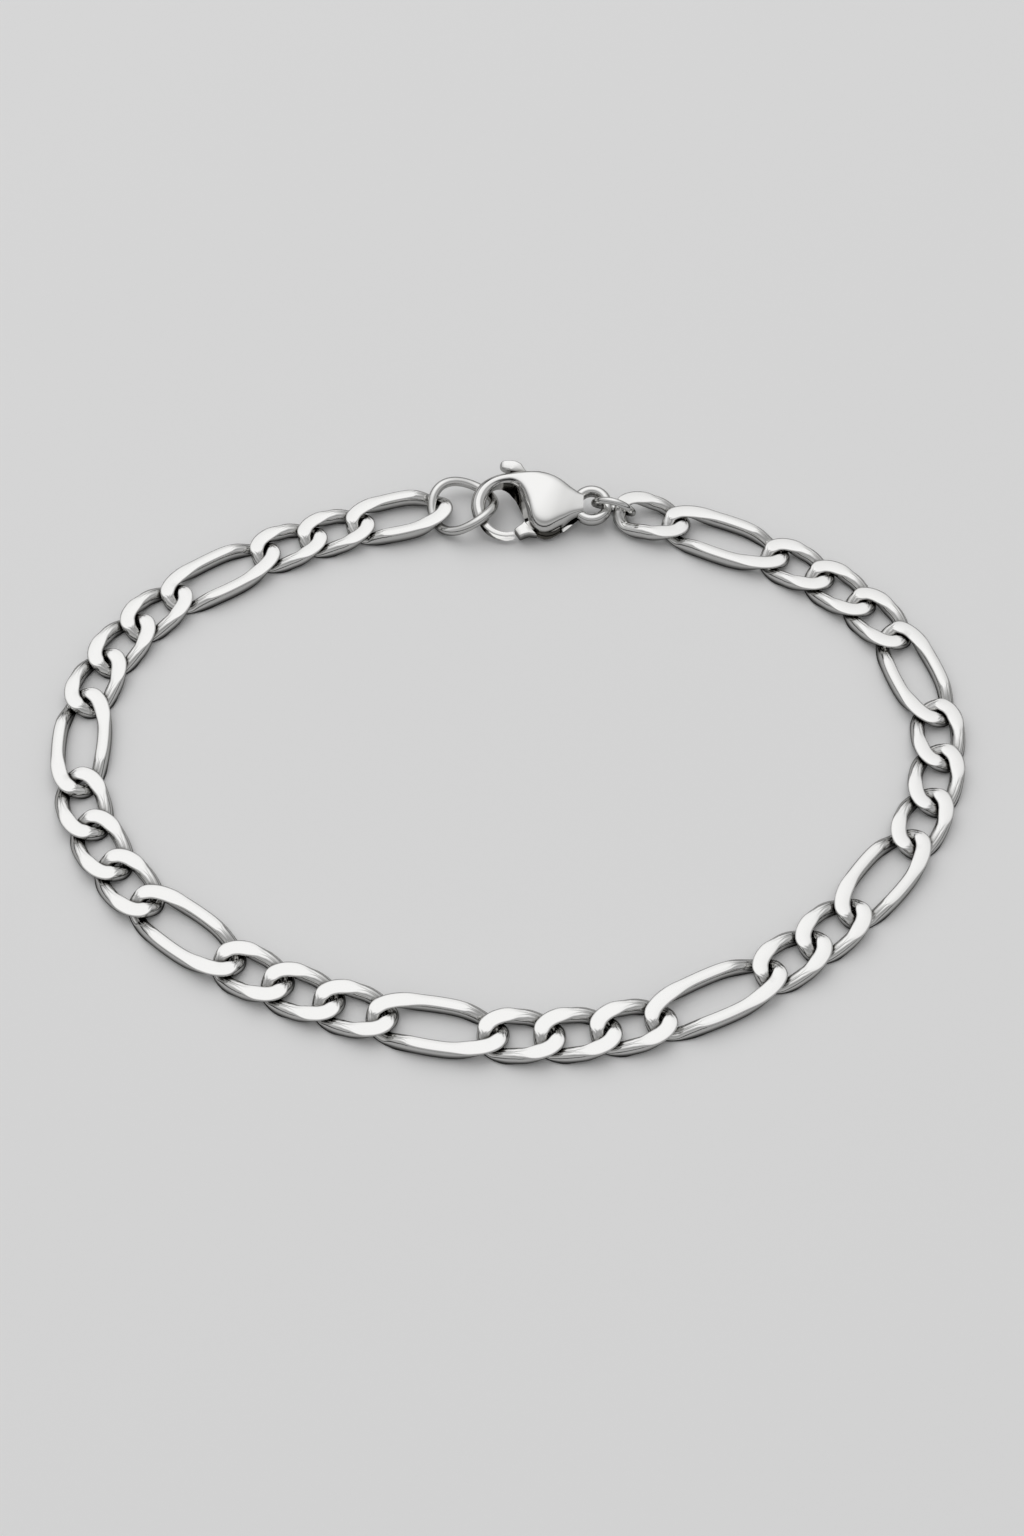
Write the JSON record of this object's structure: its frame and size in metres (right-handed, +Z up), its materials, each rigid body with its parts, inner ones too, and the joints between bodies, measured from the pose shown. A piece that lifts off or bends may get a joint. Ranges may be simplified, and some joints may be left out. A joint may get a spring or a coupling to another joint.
{
  "type": "link bracelet",
  "caption": "Polished steel figaro bracelet: ground-flat twisted links in a closed loop, fastened with a sprung lobster clasp through a large jump ring.",
  "frame": {"origin": "on the surface that the bracelet lies on, under the middle of the loop's box", "axes": "+X along the loop's long way, +Y to the clasp, +Z up"},
  "size_m": [0.0779, 0.0589, 0.0037],
  "materials": {
    "link_steel": "polished, with ground flats",
    "ring_steel": "polished wire",
    "clasp_steel": "polished casting",
    "lever_steel": "polished"
  },
  "bodies": {
    "bracelet": {"link_small_01": "link_steel", "link_small_02": "link_steel", "link_small_03": "link_steel", "link_small_04": "link_steel", "link_small_05": "link_steel", "link_small_06": "link_steel", "link_small_07": "link_steel", "link_small_08": "link_steel", "link_small_09": "link_steel", "link_small_10": "link_steel", "link_small_11": "link_steel", "link_small_12": "link_steel", "link_small_13": "link_steel", "link_small_14": "link_steel", "link_small_15": "link_steel", "link_small_16": "link_steel", "link_small_17": "link_steel", "link_small_18": "link_steel", "link_small_19": "link_steel", "link_small_20": "link_steel", "link_small_21": "link_steel", "link_small_22": "link_steel", "link_small_23": "link_steel", "link_long_1": "link_steel", "link_long_2": "link_steel", "link_long_3": "link_steel", "link_long_4": "link_steel", "link_long_5": "link_steel", "link_long_6": "link_steel", "link_long_7": "link_steel", "link_long_8": "link_steel", "link_long_9": "link_steel", "jump_ring_large": "ring_steel", "jump_ring_small": "ring_steel", "clasp_body": "clasp_steel", "clasp_pin": "lever_steel"},
    "lever": {"clasp_lever": "lever_steel"}
  },
  "joints": [
    {"name": "lever_hinge", "type": "hinge", "parent": "bracelet", "child": "lever", "pos_m": [0.0038, 0.02454, 0.00152], "axis": [0.0074, 0.2587, -0.9659], "range_deg": [0, 22], "stiffness_Nm_per_rad": 0.01, "springref_deg": -17.19}
  ]
}
